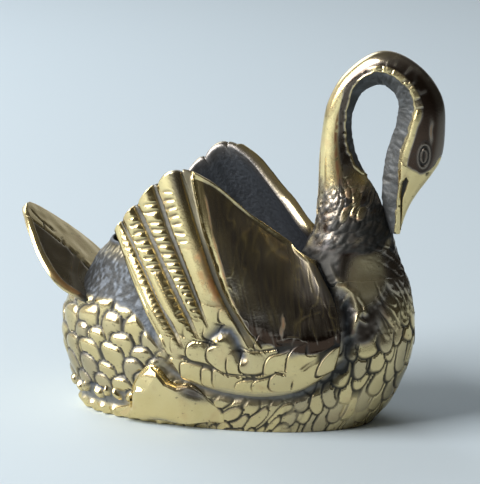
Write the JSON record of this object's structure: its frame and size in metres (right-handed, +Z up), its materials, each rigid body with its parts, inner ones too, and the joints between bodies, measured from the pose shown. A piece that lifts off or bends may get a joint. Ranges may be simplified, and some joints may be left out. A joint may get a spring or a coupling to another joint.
{
  "type": "swan match holder",
  "caption": "Cast brass swan with a hollow back between its raised wings that holds matches; the neck arches over and the bill comes down to meet the breast.",
  "frame": {"origin": "on the table, under the middle of the whole swan", "axes": "+X towards the breast and head, +Y towards the swan's left, +Z up"},
  "size_m": [0.0794, 0.0358, 0.0674],
  "materials": {
    "cast_brass": "polished on the high parts, dark patina in the grooves",
    "sheet_brass": "dull, unpolished sheet"
  },
  "bodies": {
    "root": {"body_shell": "cast_brass", "base_plate": "sheet_brass", "left_wing": "cast_brass", "right_wing": "cast_brass", "neck_and_head": "cast_brass", "tail_fan": "cast_brass", "left_foot": "cast_brass", "right_foot": "cast_brass"}
  },
  "joints": []
}
